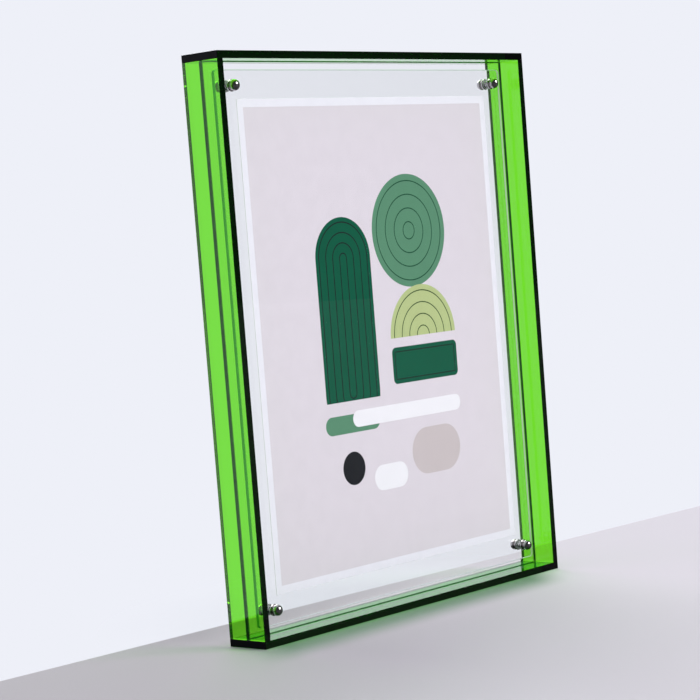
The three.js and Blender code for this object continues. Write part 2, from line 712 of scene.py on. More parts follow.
@dataclass(frozen=True)
class TintedAcrylic(Finish):
    """Clear green cast acrylic with polished faces, and sawn and flamed rims that are coloured near-black.

    Args:
        depth_colour: Colour that the depth of the sheet leaves.
        density: How fast the depth takes off the rest, per metre.
        rim_colour: Near-black colour of the front and back rims, darker than the depth of the sheet makes
            them.
        rim_distance: Distance of the rim faces from the middle of the depth.
        rim_fade: Distance over which the rim begins.
        rim_roughness: Roughness of the rims.
        scuffs: Strength of the fine scratches.
        smears: Strength of the soft patches.
        waves: Scale of the flame's waves along X, Y and Z.
        relief: Strength of these waves, and how far out they reach.
    """

    depth_colour: Colour = (0.60, 0.957, 0.09)
    density: float = 900.0
    rim_colour: Colour = (0.004, 0.026, 0.016)
    rim_distance: float = 12.2 * MM
    rim_fade: float = 0.1 * MM
    rim_roughness: float = 0.04
    scuffs: float = 0.12
    smears: float = 0.03
    waves: tuple[float, float, float] = (70.0, 260.0, 70.0)
    relief: Pair = (0.05, 0.2 * MM)

    def fill(self, graph: MaterialGraph) -> None:
        """Adds the finish's nodes.

        Args:
            graph: The material's graph.
        """
        _, y, _ = graph.axes(graph.place)
        rim = BAND.use(graph, Value=y, Distance=self.rim_distance, Softness=self.rim_fade).outputs["Mask"]
        lines = HAIRLINES.use(graph, Vector=graph.place, Amount=self.scuffs).outputs["Mask"]
        wiped = SMUDGES.use(graph, Vector=graph.place, Amount=self.smears).outputs["Mask"]
        # The front and back rims take a near-black colour, darker than the depth of the sheet makes them
        tint = graph.mix(rim, WHITE, rgba(self.rim_colour))
        dulled = graph.math("ADD", wiped, graph.math("MULTIPLY", rim, self.rim_roughness))
        rough = graph.math("ADD", lines, dulled, clamp=True)
        flame = graph.noise(graph.stretched(graph.place, self.waves), 1.0, 2.0)
        normal = graph.bump(flame, *self.relief)
        shader = graph.principled(tint, rough, IOR=ACRYLIC_INDEX, Transmission_Weight=1.0, Normal=normal)
        graph.show_through(shader, self.depth_colour, self.density)


@dataclass(frozen=True)
class ClearAcrylic(Finish):
    """Clear cast acrylic of the two panels, slightly wavy.

    Args:
        depth_colour: Colour that the depth of the sheet leaves.
        density: How fast the depth takes off the rest, per metre.
        index: Index of refraction, below the real 1.49 so that the panels mirror as little as they seem to.
        scuffs: Strength of the fine scratches.
        smears: Strength of the soft patches.
        waves: Scale of the waves.
        relief: Strength of the waves, and how far out they reach.
    """

    depth_colour: Colour = (0.5, 0.8, 0.75)
    density: float = 3.0
    index: float = 1.35
    scuffs: float = 0.10
    smears: float = 0.02
    waves: float = 30.0
    relief: Pair = (0.02, 0.2 * MM)

    def fill(self, graph: MaterialGraph) -> None:
        """Adds the finish's nodes.

        Args:
            graph: The material's graph.
        """
        lines = HAIRLINES.use(graph, Vector=graph.place, Amount=self.scuffs).outputs["Mask"]
        wiped = SMUDGES.use(graph, Vector=graph.place, Amount=self.smears).outputs["Mask"]
        rough = graph.math("ADD", lines, wiped, clamp=True)
        normal = graph.bump(graph.noise(graph.place, self.waves, 1.0), *self.relief)
        shader = graph.principled(WHITE, rough, IOR=self.index, Transmission_Weight=1.0, Normal=normal)
        graph.show_through(shader, self.depth_colour, self.density)


@dataclass(frozen=True)
class SawnEdge(Finish):
    """Fine-sawn, rounded edge of clear acrylic: pale and satin, with painted green light beside the strip.

    Args:
        colour: Colour of the edge.
        lit_colour: Colour of the edge on the right, painted green for the light that the strip beside it
            throws.
        lit_from: Where that painted light begins, along X.
        lit_fade: Distance over which it begins.
        dull: How much of the colour the saw marks leave.
        marks: Scale of the saw marks along X, Y and Z.
        roughness: Least and greatest roughness.
        relief: Strength of the marks, and how far out they reach.
    """

    colour: Colour = (0.66, 0.70, 0.74)
    lit_colour: Colour = (0.72, 0.96, 0.60)
    lit_from: float = 0.115
    lit_fade: float = 0.5 * MM
    dull: float = 0.85
    marks: tuple[float, float, float] = (900.0, 120.0, 900.0)
    roughness: Pair = (0.3, 0.45)
    relief: Pair = (0.2, 0.05 * MM)

    def fill(self, graph: MaterialGraph) -> None:
        """Adds the finish's nodes.

        Args:
            graph: The material's graph.
        """
        marks = graph.noise(graph.stretched(graph.place, self.marks), 1.0, 2.0)
        x, _, _ = graph.axes(graph.place)
        # Painted light: the edge turns green on the right, where the strip beside it throws its light
        lit = graph.ramp(x, self.lit_from - self.lit_fade, self.lit_from)
        polished = graph.mix(lit, rgba(self.colour), rgba(self.lit_colour))
        dulled, lit_dulled = scaled(self.colour, self.dull), scaled(self.lit_colour, self.dull)
        marked = graph.mix(lit, rgba(dulled), rgba(lit_dulled))
        rough = graph.ramp(marks, *NOISE_RANGE, *self.roughness)
        normal = graph.bump(marks, *self.relief)
        shader = graph.principled(graph.mix(marks, polished, marked), rough, Normal=normal)
        graph.surface(shader)


@dataclass(frozen=True)
class Cement(Finish):
    """Dark satin face: cement in the joint of the bonded panel, or a sawn end, as it looks from outside.

    Args:
        colour: Colour of the face.
        thick: How much of the colour is left where the cement lies thick.
        gloss: How much the face mirrors; 0.5 is plain plastic.
        flow: Scale of the cement's unevenness.
        roughness: Least and greatest roughness.
        relief: Strength of the unevenness, and how far out it reaches.
    """

    colour: Colour = (0.012, 0.085, 0.02)
    thick: float = 0.4
    gloss: float = 0.1
    flow: float = 260.0
    roughness: Pair = (0.3, 0.5)
    relief: Pair = (0.3, 0.2 * MM)

    def fill(self, graph: MaterialGraph) -> None:
        """Adds the finish's nodes.

        Args:
            graph: The material's graph.
        """
        flow = graph.noise(graph.place, self.flow)
        thick = rgba(scaled(self.colour, self.thick))
        tint = graph.mix(graph.ramp(flow, *NOISE_RANGE), rgba(self.colour), thick)
        rough = graph.ramp(flow, *WIDE_RANGE, *self.roughness)
        normal = graph.bump(flow, *self.relief)
        shader = graph.principled(tint, rough, Specular_IOR_Level=self.gloss, Normal=normal)
        graph.surface(shader)


@dataclass(frozen=True)
class ChromePlate(Finish):
    """Bright plate over turned metal, with tool rings, and rougher waists that carry a painted shade.

    Args:
        colour: Colour of the plate.
        axis_x: Distance of the stud axes from the middle.
        axis_rise: Distance of the stud axes from the middle height.
        middle: Middle height.
        waists: Middle of the nuts' and of the screw heads' waists, along Y.
        waist_half: Half of a waist's length.
        waist_fade: Distance over which a waist's look begins.
        waist_colour: Colour of the waists, which see little light.
        waist_roughness: How much rougher the waists are.
        speck_colour: Colour of the fine pits.
        speck_share: How much a pit takes its own colour.
        speck_scale: Scale of the pits.
        speck_range: Range of the noise over which a pit begins.
        scuffs: Strength of the fine scratches.
        scuff_scale: How much finer they are than on the acrylic.
        roughness: Least and greatest roughness of the tool's rings.
        relief: Strength of these rings, and how far out they reach.
    """

    colour: Colour = (0.55, 0.535, 0.545)
    axis_x: float = 0.1065
    axis_rise: float = 0.1335
    middle: float = 0.15
    waists: Pair = (-3.85 * MM, 4.40 * MM)
    waist_half: float = 0.80 * MM
    waist_fade: float = 0.05 * MM
    waist_colour: Colour = (0.20, 0.18, 0.18)
    waist_roughness: float = 0.1
    speck_colour: Colour = (0.42, 0.40, 0.40)
    speck_share: float = 0.35
    speck_scale: float = 2200.0
    speck_range: Pair = (0.66, 0.78)
    scuffs: float = 0.10
    scuff_scale: float = 6.0
    roughness: Pair = (0.05, 0.13)
    relief: Pair = (0.12, 0.02 * MM)

    def fill(self, graph: MaterialGraph) -> None:
        """Adds the finish's nodes.

        Args:
            graph: The material's graph.
        """
        rings = TURNING.use(
            graph, Vector=graph.place, Axis_X=self.axis_x, Axis_Rise=self.axis_rise, Middle_Z=self.middle
        ).outputs["Height"]
        _, y, _ = graph.axes(graph.place)
        finer = graph.stretched(graph.place, [self.scuff_scale] * 3)
        lines = HAIRLINES.use(graph, Vector=finer, Amount=self.scuffs).outputs["Mask"]
        specks = graph.ramp(graph.noise(graph.place, self.speck_scale, 2.0), *self.speck_range)
        pitted = graph.math("MULTIPLY", specks, self.speck_share)
        tint = graph.mix(pitted, rgba(self.colour), rgba(self.speck_colour))
        outside = 1.0
        for middle in self.waists:
            sizes = {"Middle": middle, "Distance": self.waist_half, "Softness": self.waist_fade}
            outside = graph.math("MULTIPLY", outside, BAND.use(graph, Value=y, **sizes).outputs["Mask"])
        waist = graph.math("SUBTRACT", 1.0, outside)
        # Painted shade: the waists take a darker colour, as they see little light
        tint = graph.mix(waist, tint, rgba(self.waist_colour))
        lines = graph.math("ADD", lines, graph.math("MULTIPLY", waist, self.waist_roughness))
        ringed = graph.ramp(rings, *NOISE_RANGE, *self.roughness)
        rough = graph.math("ADD", ringed, lines, clamp=True)
        shader = graph.principled(tint, rough, Metallic=1.0, Normal=graph.bump(rings, *self.relief))
        graph.surface(shader)


@dataclass(frozen=True)
class WasherPlastic(Finish):
    """Soft clear plastic, slightly cloudy.

    Args:
        thin: Colour where it is clearest.
        cloudy: Colour where it is cloudiest.
        clearness: Share of the light that passes.
        index: Index of refraction.
        cloud_scale: Scale of the cloudiness.
        roughness: Least and greatest roughness.
    """

    thin: Colour = (0.40, 0.42, 0.42)
    cloudy: Colour = (0.52, 0.54, 0.54)
    clearness: float = 0.7
    index: float = 1.5
    cloud_scale: float = 900.0
    roughness: Pair = (0.25, 0.45)

    def fill(self, graph: MaterialGraph) -> None:
        """Adds the finish's nodes.

        Args:
            graph: The material's graph.
        """
        cloud = graph.noise(graph.place, self.cloud_scale)
        tint = graph.mix(cloud, rgba(self.thin), rgba(self.cloudy))
        rough = graph.ramp(cloud, *NOISE_RANGE, *self.roughness)
        shader = graph.principled(tint, rough, IOR=self.index, Transmission_Weight=self.clearness)
        graph.surface(shader)


@dataclass(frozen=True)
class PrintShape:
    """One flat shape of the printed design, in millimetres from the sheet's middle.

    Args:
        x: Centre to the right.
        z: Centre upwards.
        half_width: Half of its width.
        half_height: Half of its height.
        corner: Radius of its corners.
        colour: Its colour.
        base: Height of the line that cuts it off below.
        line_colour: Colour of the lines inside it.
        spacing: Distance of the lines inside it.
        line: Half of the width of these lines; 0 draws none.
    """

    x: float
    z: float
    half_width: float
    half_height: float
    corner: float
    colour: Colour
    base: float = -200.0
    line_colour: Colour = (0.01, 0.02, 0.015)
    spacing: float = 10.0
    line: float = 0.0


DEEP_GREEN = tone(16, 89, 65)
MID_GREEN = tone(92, 142, 112)
PALE_GREEN = tone(184, 198, 138)
INK = tone(32, 34, 38)
CHALK = tone(244, 243, 246)
CLAY = tone(204, 194, 194)

DESIGN: tuple[PrintShape, ...] = (
    PrintShape(26, 54, 31, 31, 31, MID_GREEN, line_colour=tone(38, 82, 60), spacing=7.5, line=0.3),
    PrintShape(-30, 6, 22, 58, 22, DEEP_GREEN, base=-34, line_colour=INK, spacing=5.5, line=0.3),
    PrintShape(32, -4, 28, 28, 28, PALE_GREEN, base=-4, line_colour=tone(60, 84, 44), spacing=6.5, line=0.3),
    PrintShape(32, -19, 28, 10, 3, DEEP_GREEN, line_colour=INK, spacing=5.0, line=0.25),
    PrintShape(-32, -46, 22, 5, 5, MID_GREEN),
    PrintShape(-34, -70, 9, 9, 9, INK),
    PrintShape(14, -44, 46, 4.5, 4.5, CHALK),
    PrintShape(36, -68, 21, 13, 13, CLAY),
    PrintShape(-4, -78, 14, 7, 7, CHALK),
)


@dataclass(frozen=True)
class PrintedFace(Finish):
    """Printed side of the photo paper: white margin, warm grey ground and a design of plain shapes.

    Args:
        middle: Middle of the sheet.
        half_width: Half of the sheet's width.
        half_height: Half of the sheet's height.
        margin: Width of the white margin.
        ground_corner: Radius of the ground's corners.
        ground: Colour of the printed ground.
        paper: Colour of the margin.
        gloss: How much the print mirrors; 0.5 is plain plastic.
        cloudy: How much of the colour its cloudy parts keep.
        roughness: Least and greatest roughness.
        relief: Strength of the paper's tooth, and how far out it reaches.
        shapes: The design, from the back to the front.
    """

    middle: tuple[float, float, float] = (0.0, 0.0, 0.15)
    half_width: float = 0.1
    half_height: float = 0.12
    margin: float = 4.2 * MM
    ground_corner: float = 0.2 * MM
    ground: Colour = tone(224, 217, 223)
    paper: Colour = tone(240, 238, 246)
    gloss: float = 0.02
    cloudy: float = 0.975
    roughness: Pair = (0.62, 0.76)
    relief: Pair = (0.08, 0.02 * MM)
    shapes: tuple[PrintShape, ...] = DESIGN

    def fill(self, graph: MaterialGraph) -> None:
        """Adds the finish's nodes.

        Args:
            graph: The material's graph.
        """
        centred = graph.add("ShaderNodeVectorMath", {0: graph.place, 1: self.middle}, operation="SUBTRACT")
        centred = centred.outputs[0]
        ground = SHAPE.use(
            graph,
            Vector=centred,
            Half_Width=self.half_width - self.margin,
            Half_Height=self.half_height - self.margin,
            Corner=self.ground_corner,
            Base=-self.half_height,
        )
        colour = graph.mix(ground.outputs["Fill"], rgba(self.paper), rgba(self.ground))
        for shape in self.shapes:
            node = SHAPE.use(
                graph,
                Vector=centred,
                Centre_X=shape.x * MM,
                Centre_Z=shape.z * MM,
                Half_Width=shape.half_width * MM,
                Half_Height=shape.half_height * MM,
                Corner=shape.corner * MM,
                Base=shape.base * MM,
                Spacing=shape.spacing * MM,
                Line=shape.line * MM,
            )
            colour = graph.mix(node.outputs["Fill"], colour, rgba(shape.colour))
            if shape.line > 0:
                colour = graph.mix(node.outputs["Lines"], colour, rgba(shape.line_colour))
        tooth = FIBRES.use(graph, Vector=graph.place)
        shade = graph.ramp(tooth.outputs["Cloud"], *NOISE_RANGE, self.cloudy, 1.0)
        grey = graph.add("ShaderNodeCombineColor", {0: shade, 1: shade, 2: shade}).outputs[0]
        inked = graph.mix(1.0, colour, grey, blend="MULTIPLY")
        rough = graph.ramp(tooth.outputs["Tooth"], *NOISE_RANGE, *self.roughness)
        normal = graph.bump(tooth.outputs["Tooth"], *self.relief)
        shader = graph.principled(inked, rough, Specular_IOR_Level=self.gloss, Normal=normal)
        graph.surface(shader)


@dataclass(frozen=True)
class PlainPaper(Finish):
    """Unprinted back and edges of the photo paper.

    Args:
        colour: Colour of the paper.
        cloudy: How much of the colour its cloudy parts keep.
        roughness: Least and greatest roughness.
        relief: Strength of the paper's tooth, and how far out it reaches.
    """

    colour: Colour = tone(240, 239, 236)
    cloudy: float = 0.95
    roughness: Pair = (0.6, 0.75)
    relief: Pair = (0.15, 0.03 * MM)

    def fill(self, graph: MaterialGraph) -> None:
        """Adds the finish's nodes.

        Args:
            graph: The material's graph.
        """
        tooth = FIBRES.use(graph, Vector=graph.place)
        tint = graph.mix(tooth.outputs["Cloud"], rgba(self.colour), rgba(scaled(self.colour, self.cloudy)))
        rough = graph.ramp(tooth.outputs["Tooth"], *NOISE_RANGE, *self.roughness)
        normal = graph.bump(tooth.outputs["Tooth"], *self.relief)
        shader = graph.principled(tint, rough, Normal=normal)
        graph.surface(shader)


@dataclass(frozen=True)
class TableTop(Finish):
    """Matt pale floor: a grey table in front, with painted shade and a painted shadow, and a paler ground
    behind it that runs into the backdrop.

    Args:
        near: Colour of the table, to the right and in front.
        shaded: Colour of the table to the left and at the back, where less of the light reaches.
        shade: Where the shaded part ends and the other begins, as X less Y.
        contact: Colour of a painted shadow on the table close in front of the bottom strip, which keeps the
            low light off it.
        contact_fade: Distances before the middle of the frame between which this shade fades out.
        contact_ends: Distances to the side between which it fades out.
        contact_lean: How far it leans away from the lamp behind, as X for each Y.
        contact_under: Depths below the frame between which it ends, out of sight.
        far: Colour of the ground behind.
        backdrop: Colour of the backdrop.
        card_level: How much of the table's colour reflections see, as if a dark card lay on it.
        gloss: How much the table mirrors; 0.5 is plain plastic.
        grain: Scale of the table's grain.
        roughness: Least and greatest roughness.
        line: Where table and ground meet, along Y.
        line_fade: Distances before and behind this line over which the two run together.
        slant: How much this line turns, as Y for each X.
        fade: Distances between which the ground runs into the backdrop.
    """

    near: Colour = tone(207, 202, 208)
    shaded: Colour = tone(170, 166, 170)
    shade: Pair = (-0.20, 0.08)
    contact: Colour = tone(115, 143, 120)
    contact_fade: Pair = (0.019, 0.050)
    contact_ends: Pair = (0.10, 0.13)
    contact_lean: float = 0.7
    contact_under: Pair = (-0.008, 0.004)
    far: Colour = tone(232, 233, 239)
    backdrop: Colour = tone(238, 240, 248)
    card_level: float = 0.08
    gloss: float = 0.1
    grain: float = 900.0
    roughness: Pair = (0.7, 0.85)
    line: float = 0.058
    line_fade: Pair = (0.001, 0.002)
    slant: float = 0.035
    fade: Pair = (0.03, 0.17)

    def fill(self, graph: MaterialGraph) -> None:
        """Adds the finish's nodes.

        Args:
            graph: The material's graph.
        """
        x, y, _ = graph.axes(graph.place)
        slope = graph.math("ADD", y, graph.math("MULTIPLY", x, self.slant))
        behind = graph.ramp(slope, self.line - self.line_fade[0], self.line + self.line_fade[1])
        rough = graph.ramp(graph.noise(graph.place, self.grain), *NOISE_RANGE, *self.roughness)
        path = graph.add("ShaderNodeLightPath")
        carded = rgba(scaled(self.near, self.card_level))
        # Painted shade: the table darkens towards the left and the back, where less of the light reaches
        across = graph.math("SUBTRACT", x, y)
        near = graph.mix(graph.ramp(across, *self.shade), rgba(self.shaded), rgba(self.near))
        # Painted shadow: close in front of the bottom strip the table takes the contact colour
        ahead = graph.ramp(y, -self.contact_fade[1], -self.contact_fade[0])
        leaning = graph.math("SUBTRACT", x, graph.math("MULTIPLY", y, self.contact_lean))
        beside = graph.ramp(graph.math("ABSOLUTE", leaning), *self.contact_ends, 1.0, 0.0)
        under = graph.ramp(y, *self.contact_under, 1.0, 0.0)
        painted_shadow_mask = graph.math("MULTIPLY", graph.math("MULTIPLY", ahead, beside), under)
        near = graph.mix(painted_shadow_mask, near, rgba(self.contact))
        near = graph.mix(graph.was_mirrored(path), near, carded)
        colour = graph.mix(behind, near, rgba(self.far))
        shader = graph.principled(colour, rough, Specular_IOR_Level=self.gloss)
        away = graph.add("ShaderNodeVectorMath", {0: graph.place}, operation="LENGTH").outputs["Value"]
        gone = graph.math("MULTIPLY", graph.ramp(away, *self.fade), behind)
        glow = graph.add("ShaderNodeEmission", {"Color": rgba(self.backdrop), "Strength": 1.0})
        share = graph.math("MULTIPLY", gone, graph.looked_at(path))
        mixed = graph.add("ShaderNodeMixShader", {0: share, 1: shader.outputs[0], 2: glow.outputs[0]})
        graph.surface(mixed)


# Mesh making

# Faces of at least this area are shaded flat
LARGE_FACE = 10 * SQUARE_MM
# Points nearer to the axis than this lie on it
ON_AXIS = 1e-9
# A rounding takes at most this part of an edge, so that two of them fit on it
ROUNDED_PART = 1 / 2.2


def circle(x: float, z: float, radius: float, segments: int) -> list[Pair]:
    """Points round a circle that faces the front.

    Args:
        x: Its middle along X.
        z: Its middle along Z.
        radius: Its radius.
        segments: How many points it has.

    Returns:
        The points as X and Z.
    """
    turns = (2 * math.pi * step / segments for step in range(segments))
    return [(x + radius * math.cos(turn), z + radius * math.sin(turn)) for turn in turns]


def placed(name: str, mesh: bpy.types.Mesh) -> bpy.types.Object:
    """Puts a mesh into the scene as an object.

    Args:
        name: Name of the object.
        mesh: Its mesh.

    Returns:
        The new object.
    """
    piece = bpy.data.objects.new(name, mesh)
    bpy.context.scene.collection.objects.link(piece)
    return piece


def finished_mesh(
    name: str, work: bmesh.types.BMesh, flat_area: float = math.inf, sharp: float = 35.0
) -> bpy.types.Mesh:
    """Turns worked faces outward and gives them their shading.

    Args:
        name: Name of the mesh.
        work: The worked mesh, which is freed.
        flat_area: Faces of at least this area are shaded flat.
        sharp: Angle in degrees over which an edge is shaded sharp.

    Returns:
        The finished mesh.
    """
    bmesh.ops.recalc_face_normals(work, faces=work.faces)
    mesh = bpy.data.meshes.new(name)
    work.to_mesh(mesh)
    work.free()
    # The sharp edges come first, because setting them shades every face smooth
    mesh.set_sharp_from_angle(angle=math.radians(sharp))
    for face in mesh.polygons:
        face.use_smooth = face.area < flat_area
    return mesh


def eased_box(name: str, span: Span, ease: float, axes: str, steps: int = 4) -> bpy.types.Mesh:
    """Makes a box with rounded edges.

    Args:
        name: Name of the mesh.
        span: The box.
        ease: Radius of its edges.
        axes: Axes along which the edges are rounded.
        steps: Faces over each rounded edge.

    Returns:
        The mesh.
    """
    work = bmesh.new()
    bmesh.ops.create_cube(work, size=1.0)
    for vert in work.verts:
        vert.co = span.centre + vert.co * span.size
    chosen = []
    for edge in work.edges:
        run = edge.verts[1].co - edge.verts[0].co
        axis = "XYZ"[max(range(3), key=lambda i: abs(run[i]))]
        if axis in axes:
            chosen.append(edge)
    bmesh.ops.bevel(
        work, geom=chosen, offset=ease, segments=steps, profile=0.5, affect="EDGES", clamp_overlap=True
    )
    return finished_mesh(name, work, flat_area=LARGE_FACE)


def eased_profile(points: Profile, radius: float, steps: int = 4) -> Profile:
    """Rounds the corners of a profile.

    Args:
        points: Corners of the profile, as radius and height.
        radius: How far from each corner the rounding starts.
        steps: Parts of each rounding.

    Returns:
        The rounded profile.
    """
    rounded: Profile = [points[0]]
    for before, corner, after in zip(points, points[1:], points[2:]):
        a, p, b = Vector(before), Vector(corner), Vector(after)
        cut = min(radius, (a - p).length * ROUNDED_PART, (b - p).length * ROUNDED_PART)
        start, end = p + (a - p).normalized() * cut, p + (b - p).normalized() * cut
        for step in range(steps + 1):
            t = step / steps
            spot = start * (1 - t) ** 2 + p * (2 * t * (1 - t)) + end * t**2
            rounded.append((spot.x, spot.y))
    rounded.append(points[-1])
    return rounded


def turned(
    work: bmesh.types.BMesh, profile: Profile, centre: Vector, direction: int, segments: int = 64
) -> None:
    """Adds a turned solid about an axis along Y.

    Args:
        work: The mesh that it is added to.
        profile: Radius and height pairs; it starts and ends on the axis or closes on itself.
        centre: Where height 0 lies.
        direction: 1 to grow to the back, -1 to the front.
        segments: Faces round the axis.
    """
    closed = profile[0] == profile[-1]
    rings = []
    for radius, height in profile[:-1] if closed else profile:
        y = centre.y + direction * height
        spots = circle(centre.x, centre.z, radius, segments)
        if radius < ON_AXIS:
            spots = [(centre.x, centre.z)]
        rings.append([work.verts.new((x, y, z)) for x, z in spots])
    pairs = list(zip(rings, rings[1:])) + ([(rings[-1], rings[0])] if closed else [])
    for lower, upper in pairs:
        for step in range(segments):
            # A ring on the axis has one vertex, which stands for each of its steps
            after = (step + 1) % segments
            below = [lower[step % len(lower)], lower[after % len(lower)]]
            above = [upper[after % len(upper)], upper[step % len(upper)]]
            unique = list(dict.fromkeys(below + above))
            if len(unique) > 2:
                work.faces.new(unique)


@dataclass(frozen=True)
class GrownTree:
    """Geometry Nodes tree with named inputs, grown once and kept as a mesh.

    Args:
        name: Name of the tree.
        inputs: Name and socket type of each input.
        build: Fills the tree: takes the graph and the input sockets, gives the geometry socket.
    """

    name: str
    inputs: tuple[tuple[str, str], ...]
    build: Callable[[Graph, Sockets], Socket]

    def tree(self) -> bpy.types.NodeTree:
        """Makes the tree, or gives the one made before.

        Returns:
            The node tree.
        """
        known = bpy.data.node_groups.get(self.name)
        if known is not None:
            return known
        tree = bpy.data.node_groups.new(self.name, "GeometryNodeTree")
        for name, kind in self.inputs:
            tree.interface.new_socket(name, in_out="INPUT", socket_type=kind)
        tree.interface.new_socket("Material", in_out="INPUT", socket_type="NodeSocketMaterial")
        tree.interface.new_socket("Geometry", in_out="OUTPUT", socket_type="NodeSocketGeometry")
        graph = Graph(tree)
        start = graph.add("NodeGroupInput")
        made = self.build(graph, {name: start.outputs[name] for name, _ in self.inputs})
        whole = graph.add("GeometryNodeRealizeInstances", {0: made})
        inputs = {"Geometry": whole.outputs[0], "Material": start.outputs["Material"]}
        dressed = graph.add("GeometryNodeSetMaterial", inputs)
        end = graph.add("NodeGroupOutput")
        graph.put(end.inputs[0], dressed.outputs[0])
        return tree

    def grow(self, material: bpy.types.Material, **values: float) -> bpy.types.Mesh:
        """Runs the tree and keeps its result.

        Args:
            material: Material of the result.
            values: Values by the input's name, with _ for each space.

        Returns:
            The grown mesh.
        """
        tree = self.tree()
        carrier = placed(f"{self.name}_carrier", bpy.data.meshes.new(self.name))
        modifier = carrier.modifiers.new(self.name, "NODES")
        modifier.node_group = tree
        wanted = {name.replace("_", " "): value for name, value in values.items()} | {"Material": material}
        for item in tree.interface.items_tree:
            if item.item_type == "SOCKET" and item.in_out == "INPUT":
                modifier[item.identifier] = wanted[item.name]
        carrier.update_tag()
        graph = bpy.context.evaluated_depsgraph_get()
        mesh = bpy.data.meshes.new_from_object(carrier.evaluated_get(graph))
        carrier.modifiers.clear()
        bpy.data.objects.remove(carrier)
        return mesh


def _thread(graph: Graph, given: Sockets) -> Socket:
    """Core of a stud with the ridge of its thread wound round it.

    Args:
        graph: The tree's graph.
        given: The input sockets by name.

    Returns:
        The geometry's socket.
    """
    turns = graph.math("DIVIDE", given["Length"], given["Pitch"])
    helix = graph.add(
        "GeometryNodeCurveSpiral",
        {
            "Resolution": 28,
            "Rotations": turns,
            "Start Radius": given["Root Radius"],
            "End Radius": given["Root Radius"],
            "Height": given["Length"],
        },
    )
    ridge = graph.add("GeometryNodeCurvePrimitiveCircle", {"Resolution": 3, "Radius": given["Ridge"]})
    wound = graph.add(
        "GeometryNodeCurveToMesh",
        {"Curve": helix.outputs[0], "Profile Curve": ridge.outputs[0], "Fill Caps": True},
    )
    depth = graph.math("ADD", given["Length"], given["Overlap"])
    core = graph.add(
        "GeometryNodeMeshCylinder", {"Vertices": 40, "Radius": given["Root Radius"], "Depth": depth}
    )
    half = graph.math("MULTIPLY", given["Length"], 0.5)
    raised = graph.add("ShaderNodeCombineXYZ", {2: half})
    inputs = {"Geometry": core.outputs[0], "Translation": raised.outputs[0]}
    moved = graph.add("GeometryNodeTransform", inputs)
    joined = graph.add("GeometryNodeJoinGeometry")
    graph.put(joined.inputs[0], wound.outputs[0])
    graph.put(joined.inputs[0], moved.outputs[0])
    return joined.outputs[0]


def _bead(graph: Graph, given: Sockets) -> Socket:
    """Bead of cement round a rectangle, uneven in width.

    Args:
        graph: The tree's graph.
        given: The input sockets by name.

    Returns:
        The geometry's socket.
    """
    sides = {"Width": given["Width"], "Height": given["Height"]}
    loop = graph.add("GeometryNodeCurvePrimitiveQuadrilateral", sides)
    fine = graph.add("GeometryNodeResampleCurve", {"Curve": loop.outputs[0], "Count": 400}, mode="COUNT")
    # Inputs 2 and 3 are the least and the greatest width, as shares of the radius
    size = graph.add("FunctionNodeRandomValue", {2: 0.7, 3: 1.15, "Seed": 4}, data_type="FLOAT")
    section = graph.add("GeometryNodeCurvePrimitiveCircle", {"Resolution": 8, "Radius": given["Radius"]})
    uneven = graph.add("GeometryNodeSetCurveRadius", {"Curve": fine.outputs[0], "Radius": size.outputs[1]})
    curves = {"Curve": uneven.outputs[0], "Profile Curve": section.outputs[0]}
    return graph.add("GeometryNodeCurveToMesh", curves).outputs[0]


THREAD = GrownTree(
    "thread",
    (("Root Radius", FLOAT), ("Pitch", FLOAT), ("Length", FLOAT), ("Ridge", FLOAT), ("Overlap", FLOAT)),
    _thread,
)
BEAD = GrownTree("cement_bead", (("Width", FLOAT), ("Height", FLOAT), ("Radius", FLOAT)), _bead)


# The pieces

# Turns what a tree grows along Z or in the XY plane to lie along Y or in the XZ plane
STAND_UP = Matrix.Rotation(math.pi / 2, 4, "X")


@dataclass
class Strips:
    """The four tinted strips.

    Args:
        finish: Their finish.
        end_finish: Finish of the open ends of the top and bottom strips.
        ease: Radius of the polished edges.
        joint: Gap that keeps the ends of the side strips off the top and bottom strips.
    """

    finish: Finish
    end_finish: Finish
    ease: float = 0.2 * MM
    joint: float = 0.02 * MM

    def build(self) -> list[bpy.types.Object]:
        """Makes the strips.

        Returns:
            The four pieces.
        """
        made = []
        for strip in Strip:
            span = Span.of(strip.node)
            if strip.upright:
                span = span.shortened(self.joint)
            piece = placed(f"{strip.node}_acrylic", eased_box(strip.node, span, self.ease, strip.eased_axes))
            piece.data.materials.append(self.finish.material())
            if not strip.upright:
                piece.data.materials.append(self.end_finish.material())
                for face in piece.data.polygons:
                    face.material_index = int(abs(face.normal.x) > FACING)
            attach(piece, "frame")
            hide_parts(strip.node)
            made.append(piece)
        return made


